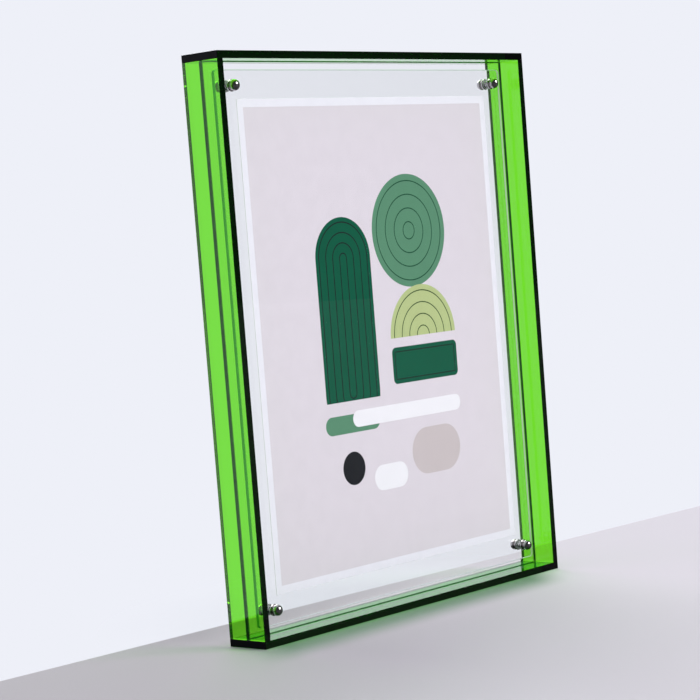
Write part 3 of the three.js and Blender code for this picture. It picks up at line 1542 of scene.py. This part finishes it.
@dataclass
class ClearPanel:
    """Clear panel with four stud holes.

    Args:
        node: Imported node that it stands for.
        body: Body that it rides on.
        finish: Its finish.
        edge_finish: Finish of the outer edges.
        hole_x: Distance of the holes from the middle.
        hole_rise: Distance of the holes from the middle height.
        hole_radius: Radius of the holes.
        corner: Radius of the panel's corners.
        ease: Width of the eased edges.
        inset: Distance by which the edges stay off what is bonded to them.
        corner_steps: Faces round each corner.
        hole_segments: Faces round each hole.
        sharp: Angle in degrees over which an edge is shaded sharp.
    """

    node: str
    body: str
    finish: Finish
    edge_finish: Finish
    hole_x: float
    hole_rise: float
    hole_radius: float = 1.9 * MM
    corner: float = 2.0 * MM
    ease: float = 0.2 * MM
    inset: float = 0.0
    corner_steps: int = 8
    hole_segments: int = 48
    sharp: float = 30.0

    def outline(self, span: Span, shrink: float) -> list[Pair]:
        """Outer edge of the panel.

        Args:
            span: Box of the panel.
            shrink: Distance inwards.

        Returns:
            Its points as X and Z.
        """
        half_x, half_z = span.size.x / 2 - self.inset, span.size.z / 2 - self.inset
        points = []
        for quarter, (sx, sz) in enumerate(((1, 1), (-1, 1), (-1, -1), (1, -1))):
            for step in range(self.corner_steps + 1):
                turn = (quarter + step / self.corner_steps) * math.pi / 2
                x = sx * (half_x - self.corner) + (self.corner - shrink) * math.cos(turn)
                z = sz * (half_z - self.corner) + (self.corner - shrink) * math.sin(turn)
                points.append((span.centre.x + x, span.centre.z + z))
        return points

    def hole(self, corner: Corner, middle: float, widen: float) -> list[Pair]:
        """Edge of one stud hole.

        Args:
            corner: Which hole.
            middle: Middle height of the panel.
            widen: Distance outwards.

        Returns:
            Its points as X and Z.
        """
        side, level = corner.value
        x, z = side * self.hole_x, middle + level * self.hole_rise
        return circle(x, z, self.hole_radius + widen, self.hole_segments)

    def build(self) -> bpy.types.Object:
        """Makes the panel.

        Returns:
            The piece.
        """
        span = Span.of(self.node)
        middle = span.centre.z
        work = bmesh.new()
        levels = (
            (span.low.y, self.ease),
            (span.low.y + self.ease, 0.0),
            (span.high.y - self.ease, 0.0),
            (span.high.y, self.ease),
        )
        caps: tuple[list, list] = ([], [])
        makers: list[Callable[[float], list[Pair]]] = [lambda cut: self.outline(span, cut)]
        makers += [lambda cut, c=corner: self.hole(c, middle, cut) for corner in Corner]
        for maker in makers:
            rings = [[work.verts.new((x, y, z)) for x, z in maker(cut)] for y, cut in levels]
            for lower, upper in zip(rings, rings[1:]):
                for step, vert in enumerate(lower):
                    after = (step + 1) % len(lower)
                    work.faces.new((vert, lower[after], upper[after], upper[step]))
            for cap, ring in zip(caps, (rings[0], rings[-1])):
                neighbours = zip(ring, ring[1:] + ring[:1])
                cap += [work.edges.get(pair) for pair in neighbours]
        for cap in caps:
            bmesh.ops.triangle_fill(work, edges=cap, use_beauty=True, use_dissolve=False)
        mesh = finished_mesh(self.node, work, sharp=self.sharp)
        piece = placed(f"{self.node}_acrylic", mesh)
        mesh.materials.append(self.finish.material())
        mesh.materials.append(self.edge_finish.material())
        rim_x, rim_z = span.size.x / 2 - self.corner, span.size.z / 2 - self.corner
        for face in mesh.polygons:
            away = face.center - span.centre
            outer = abs(away.x) > rim_x or abs(away.z) > rim_z
            face.material_index = int(outer and abs(face.normal.y) < FACING)
        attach(piece, self.body)
        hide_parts(self.node)
        return piece


@dataclass
class CementBeads:
    """Thin beads of cement where the back panel meets the strips, one before and one behind it.

    Args:
        finish: Their finish.
        radius: Radius of a bead.
        tuck: How much narrower than the opening a bead's path is, in radii.
    """

    finish: Finish
    radius: float = 0.12 * MM
    tuck: float = 2.6

    def build(self) -> list[bpy.types.Object]:
        """Makes the beads.

        Returns:
            The two pieces.
        """
        span = Span.of("back_panel")
        inside = self.tuck * self.radius
        made = []
        for side in Side:
            y = span.low.y - self.radius if side is Side.FRONT else span.high.y + self.radius
            mesh = BEAD.grow(
                self.finish.material(),
                Width=span.size.x - inside,
                Height=span.size.z - inside,
                Radius=self.radius,
            )
            mesh.transform(Matrix.Translation((0.0, y, span.centre.z)) @ STAND_UP)
            piece = placed(f"{side.value}_cement_bead", mesh)
            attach(piece, "frame")
            made.append(piece)
        return made


@dataclass
class PhotoSheet:
    """The print: a thin sheet with a printed front.

    Args:
        front: Finish of the printed side.
        back: Finish of the back and the edges.
        ease: Radius of the cut edges.
        ease_steps: Faces over each of them.
    """

    front: Finish
    back: Finish
    ease: float = 0.05 * MM
    ease_steps: int = 2

    def build(self) -> bpy.types.Object:
        """Makes the sheet.

        Returns:
            The piece.
        """
        span = Span.of("photo_print")
        mesh = eased_box("photo_print", span, self.ease, "XZ", self.ease_steps)
        mesh.materials.append(self.back.material())
        mesh.materials.append(self.front.material())
        for face in mesh.polygons:
            face.material_index = int(face.normal.y < -FACING)
        piece = placed("photo_sheet", mesh)
        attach(piece, "print")
        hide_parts("photo_print")
        return piece


@dataclass(frozen=True)
class FastenerSizes:
    """Sizes of the fasteners, in metres.

    Args:
        flange_radius: Radius of the flange.
        flange_height: Height of the flange.
        waist_radius: Radius of the waist.
        waist_length: Length of the waist.
        nose_radius: Radius of the nose.
        nose_height: Height of the nose.
        bore_radius: Radius of the nut's bore.
        bore_depth: Depth of the bore's wall.
        bore_point: Depth of the drill's point at its end.
        mouth: Width of the bevel at its mouth.
        stud_radius: Radius of the stud over its thread.
        pitch: Pitch of the thread.
        ridge: Height of the thread's ridge.
        ease: How far from an edge its rounding starts.
        washer_clearance: How much wider than the stud a washer's bore is, as a radius.
        washer_ease: How far from a washer's edge its rounding starts.
        dome_steps: Faces up the dome of the nose.
    """

    flange_radius: float = 3.1 * MM
    flange_height: float = 0.65 * MM
    waist_radius: float = 2.7 * MM
    waist_length: float = 1.7 * MM
    nose_radius: float = 3.0 * MM
    nose_height: float = 2.9 * MM
    bore_radius: float = 1.7 * MM
    bore_depth: float = 4.0 * MM
    bore_point: float = 0.4 * MM
    mouth: float = 0.25 * MM
    stud_radius: float = 1.5 * MM
    pitch: float = 0.5 * MM
    ridge: float = 0.26 * MM
    ease: float = 0.14 * MM
    washer_clearance: float = 0.25 * MM
    washer_ease: float = 0.1 * MM
    dome_steps: int = 20

    @property
    def length(self) -> float:
        """Height of the whole head."""
        return self.flange_height + self.waist_length + self.nose_height

    def outside(self) -> Profile:
        """Outer profile from the seat to the nose.

        Returns:
            Radius and height pairs.
        """
        base = self.flange_height + self.waist_length
        shoulder = base + self.ease
        corners = [
            (self.bore_radius, 0.0),
            (self.flange_radius, 0.0),
            (self.flange_radius, self.flange_height),
            (self.waist_radius, self.flange_height),
            (self.waist_radius, base),
            (self.nose_radius, base),
            (self.nose_radius, shoulder),
        ]
        profile = eased_profile(corners, self.ease)
        dome = self.length - shoulder
        for step in range(1, self.dome_steps):
            turn = step / self.dome_steps * math.pi / 2
            profile.append((self.nose_radius * math.cos(turn), shoulder + dome * math.sin(turn)))
        profile.append((0.0, self.length))
        return profile


@dataclass
class Fasteners:
    """Screws, nuts and washers at the four corners.

    Args:
        metal: Finish of screws and nuts.
        plastic: Finish of the washers.
        sizes: Sizes of the fasteners.
        sharp: Angle in degrees over which an edge of the metal is shaded sharp.
        washer_sharp: The same for the washers.
        washer_steps: Faces over each edge of a washer.
        washer_segments: Faces round a washer.
    """

    metal: Finish
    plastic: Finish
    sizes: FastenerSizes = FastenerSizes()
    sharp: float = 40.0
    washer_sharp: float = 50.0
    washer_steps: int = 3
    washer_segments: int = 48

    def screw(self, corner: Corner) -> bpy.types.Object:
        """Makes one screw: domed head and threaded stud.

        Args:
            corner: Where it sits.

        Returns:
            The piece.
        """
        node = f"{corner.label}_screw"
        span = Span.of(node)
        sizes = self.sizes
        seat = Vector((span.centre.x, span.high.y - sizes.length, span.centre.z))
        work = bmesh.new()
        turned(work, [(0.0, 0.0), *sizes.outside()], seat, 1)
        bmesh.ops.recalc_face_normals(work, faces=work.faces)
        thread = THREAD.grow(
            self.metal.material(),
            Root_Radius=sizes.stud_radius - sizes.ridge,
            Pitch=sizes.pitch,
            Length=seat.y - span.low.y - 2 * sizes.ridge,
            Ridge=sizes.ridge,
            Overlap=2 * sizes.ridge,
        )
        thread.transform(Matrix.Translation((seat.x, seat.y - sizes.ridge, seat.z)) @ STAND_UP)
        work.from_mesh(thread)
        mesh = bpy.data.meshes.new(node)
        work.to_mesh(mesh)
        work.free()
        mesh.set_sharp_from_angle(angle=math.radians(self.sharp))
        return self.dress(placed(f"{node}_metal", mesh), self.metal, "polished_metal", "frame", node)

    def nut(self, corner: Corner) -> bpy.types.Object:
        """Makes one nut with its blind bore.

        Args:
            corner: Where it sits.

        Returns:
            The piece.
        """
        node = f"{corner.label}_nut"
        span = Span.of(node)
        seat = Vector((span.centre.x, span.high.y, span.centre.z))
        sizes = self.sizes
        bore = [
            (0.0, sizes.bore_depth + sizes.bore_point),
            (sizes.bore_radius, sizes.bore_depth),
            (sizes.bore_radius, sizes.mouth),
            (sizes.bore_radius + sizes.mouth, 0.0),
        ]
        work = bmesh.new()
        turned(work, [*bore, *sizes.outside()[1:]], seat, -1)
        mesh = finished_mesh(node, work, sharp=self.sharp)
        return self.dress(placed(f"{node}_metal", mesh), self.metal, "polished_metal", node, node)

    def washer(self, corner: Corner, side: Side) -> bpy.types.Object:
        """Makes one washer.

        Args:
            corner: Where it sits.
            side: Side that it lies on.

        Returns:
            The piece.
        """
        node = f"{corner.label}_{side.value}_washer"
        body = "frame" if side is Side.REAR else f"{corner.label}_washer"
        span = Span.of(node)
        bore, rim = self.sizes.stud_radius + self.sizes.washer_clearance, span.size.x / 2
        thick = span.size.y
        middle = (bore + rim) / 2
        corners = [(middle, 0.0), (rim, 0.0), (rim, thick), (bore, thick), (bore, 0.0), (middle, 0.0)]
        profile = eased_profile(corners, self.sizes.washer_ease, self.washer_steps)
        seat = Vector((span.centre.x, span.low.y, span.centre.z))
        work = bmesh.new()
        turned(work, profile, seat, 1, self.washer_segments)
        mesh = finished_mesh(node, work, sharp=self.washer_sharp)
        return self.dress(placed(f"{node}_ring", mesh), self.plastic, "soft_plastic", body, node)

    @staticmethod
    def dress(piece: bpy.types.Object, finish: Finish, slot: str, body: str, node: str) -> bpy.types.Object:
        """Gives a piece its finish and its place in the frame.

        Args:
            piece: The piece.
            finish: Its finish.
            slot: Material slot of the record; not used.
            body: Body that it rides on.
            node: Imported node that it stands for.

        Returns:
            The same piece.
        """
        if not piece.data.materials:
            piece.data.materials.append(finish.material())
        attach(piece, body)
        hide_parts(node)
        return piece

    def build(self) -> list[bpy.types.Object]:
        """Makes the hardware of all four corners.

        Returns:
            The sixteen pieces.
        """
        made = []
        for corner in Corner:
            made.append(self.screw(corner))
            made.append(self.washer(corner, Side.REAR))
            made.append(self.washer(corner, Side.FRONT))
            made.append(self.nut(corner))
        return made


# The studio


@dataclass(frozen=True)
class SoftLamp:
    """Wide, even lamp, far away.

    Args:
        name: Its name.
        strength: Its strength.
        softness: Its angle in degrees.
        lies: Direction in which it lies.
    """

    name: str
    strength: float
    softness: float
    lies: tuple[float, float, float]

    def build(self) -> bpy.types.Object:
        """Makes the lamp.

        Returns:
            The lamp.
        """
        light = bpy.data.lights.new(self.name, "SUN")
        light.energy = self.strength
        light.angle = math.radians(self.softness)
        lamp = bpy.data.objects.new(self.name, light)
        lamp.rotation_mode = "QUATERNION"
        lamp.rotation_quaternion = Vector(self.lies).to_track_quat("Z", "Y")
        bpy.context.scene.collection.objects.link(lamp)
        return lamp


@dataclass(frozen=True)
class Studio:
    """Pale floor, even surroundings and two soft lamps.

    Args:
        finish: Finish of the floor.
        reach: Half of the floor's width.
        sunk: How far the floor lies below what stands on it, so that the two faces don't meet.
        pale: Colour of the surroundings.
        open_side: Direction in which no dark card stands.
        card_edge: How gradually the cards begin, as a cosine to either side.
        card_level: How much of the pale colour the dark cards give back.
        ambient: How much of the pale colour lights the matt surfaces.
        lamps: The lamps.
    """

    finish: Finish
    reach: float = 4.0
    sunk: float = 0.05 * MM
    pale: Colour = tone(238, 240, 248)
    open_side: tuple[float, float, float] = (0.0, 0.97, 0.25)
    card_edge: float = 0.20
    card_level: float = 0.05
    ambient: float = 0.72
    lamps: tuple[SoftLamp, ...] = (
        SoftLamp("key", 1.85, 30.0, (0.42, -0.78, 0.46)),
        SoftLamp("back_light", 1.5, 50.0, (0.45, 0.65, 0.6)),
    )

    def floor(self) -> bpy.types.Object:
        """Makes the floor.

        Returns:
            The floor.
        """
        work = bmesh.new()
        bmesh.ops.create_grid(work, x_segments=8, y_segments=8, size=self.reach)
        mesh = bpy.data.meshes.new("floor")
        work.to_mesh(mesh)
        work.free()
        mesh.materials.append(self.finish.material())
        floor = placed("floor", mesh)
        floor.location.z = -self.sunk
        return floor

    def surroundings(self) -> None:
        """Makes the world: even and pale all round, with dark cards that only reflections see."""
        world = bpy.data.worlds.new("studio")
        bpy.context.scene.world = world
        world.use_nodes = True
        world.node_tree.nodes.clear()
        graph = Graph(world.node_tree)
        place = graph.add("ShaderNodeTexCoord").outputs["Generated"]
        facing = graph.add("ShaderNodeVectorMath", {0: place, 1: self.open_side}, operation="DOT_PRODUCT")
        card = graph.ramp(facing.outputs["Value"], -self.card_edge, self.card_edge, self.card_level, 1.0)
        path = graph.add("ShaderNodeLightPath")
        shown = graph.between(graph.was_mirrored(path), 1.0, card)
        level = graph.between(graph.looked_at(path), self.ambient, shown)
        light = graph.add("ShaderNodeBackground", {"Color": rgba(self.pale), "Strength": level})
        output = graph.add("ShaderNodeOutputWorld")
        graph.put(output.inputs["Surface"], light.outputs[0])

    def build(self) -> None:
        """Makes the floor, the surroundings and the lamps."""
        self.floor()
        self.surroundings()
        for lamp in self.lamps:
            lamp.build()


@dataclass(frozen=True)
class PhotoCamera:
    """Camera solved from the frame's corners in the photograph.

    Args:
        place: Where it stands.
        ahead: Direction that it looks in.
        right: Direction of the picture's right side.
        sensor: Width of the sensor in millimetres.
        lens: Focal length in millimetres.
        shift: Shift of the lens, as shares of the picture.
        clip: Nearest and farthest distance shown.
    """

    place: tuple[float, float, float] = (-0.91966, -0.78809, 0.20746)
    ahead: tuple[float, float, float] = (0.739964, 0.667287, -0.084746)
    right: tuple[float, float, float] = (0.662648, -0.744798, -0.07857)
    sensor: float = 36.0
    lens: float = 114.683
    shift: Pair = (0.02143, 0.1)
    clip: Pair = (0.01, 50.0)

    def build(self) -> bpy.types.Object:
        """Makes the camera and gives it to the scene.

        Returns:
            The camera.
        """
        ahead = Vector(self.ahead).normalized()
        right = Vector(self.right)
        right = (right - ahead * right.dot(ahead)).normalized()
        up = right.cross(ahead)
        data = bpy.data.cameras.new("photo_camera")
        data.sensor_width = self.sensor
        data.lens = self.lens
        data.shift_x, data.shift_y = self.shift
        data.clip_start, data.clip_end = self.clip
        camera = bpy.data.objects.new("photo_camera", data)
        turn = Matrix((right, up, -ahead)).transposed().to_4x4()
        camera.matrix_world = Matrix.Translation(self.place) @ turn
        bpy.context.scene.collection.objects.link(camera)
        bpy.context.scene.camera = camera
        return camera


def report(pieces: Iterable[bpy.types.Object]) -> None:
    """Logs each piece with its size.

    Args:
        pieces: The pieces made.
    """
    for piece in pieces:
        size = ", ".join(f"{value / MM:.2f}" for value in piece.dimensions)
        LOG.info("%s: %s mm, %d faces", piece.name, size, len(piece.data.polygons))


def main() -> None:
    """Builds the camera, the pieces and the studio, in this order."""
    logging.basicConfig(level=logging.INFO, format="%(message)s")
    bpy.context.scene.view_settings.view_transform = "Standard"
    PhotoCamera().build()

    cover, sheet = Span.of("front_cover"), Span.of("photo_print")
    middle = Span.of("back_panel").centre.z
    upper = Span.of(f"{Corner.UPPER_RIGHT.label}_nut").centre
    stud_x, stud_rise = upper.x, upper.z - middle

    sawn_end = Cement("sawn_end", colour=(0.0015, 0.002, 0.004))
    report(Strips(TintedAcrylic("green_sheet"), sawn_end).build())

    cement = Cement("cement")
    back = ClearPanel(
        "back_panel",
        "frame",
        ClearAcrylic("bonded_panel"),
        cement,
        stud_x,
        stud_rise,
        corner=0.2 * MM,
        ease=0.02 * MM,
        inset=0.02 * MM,
    )
    edge = SawnEdge("sawn_edge", lit_from=cover.high.x - 1.0 * MM)
    front = ClearPanel("front_cover", "cover", ClearAcrylic("loose_cover"), edge, stud_x, stud_rise)
    report([back.build(), front.build()])
    report(CementBeads(cement).build())

    printed = PrintedFace("printed_face", tuple(sheet.centre), sheet.size.x / 2, sheet.size.z / 2)
    report([PhotoSheet(printed, PlainPaper("plain_paper")).build()])

    metal = ChromePlate("chrome_plate", axis_x=stud_x, axis_rise=stud_rise, middle=middle)
    report(Fasteners(metal, WasherPlastic("washer_plastic")).build())

    Studio(TableTop("table_top")).build()


if __name__ == "__main__":
    main()
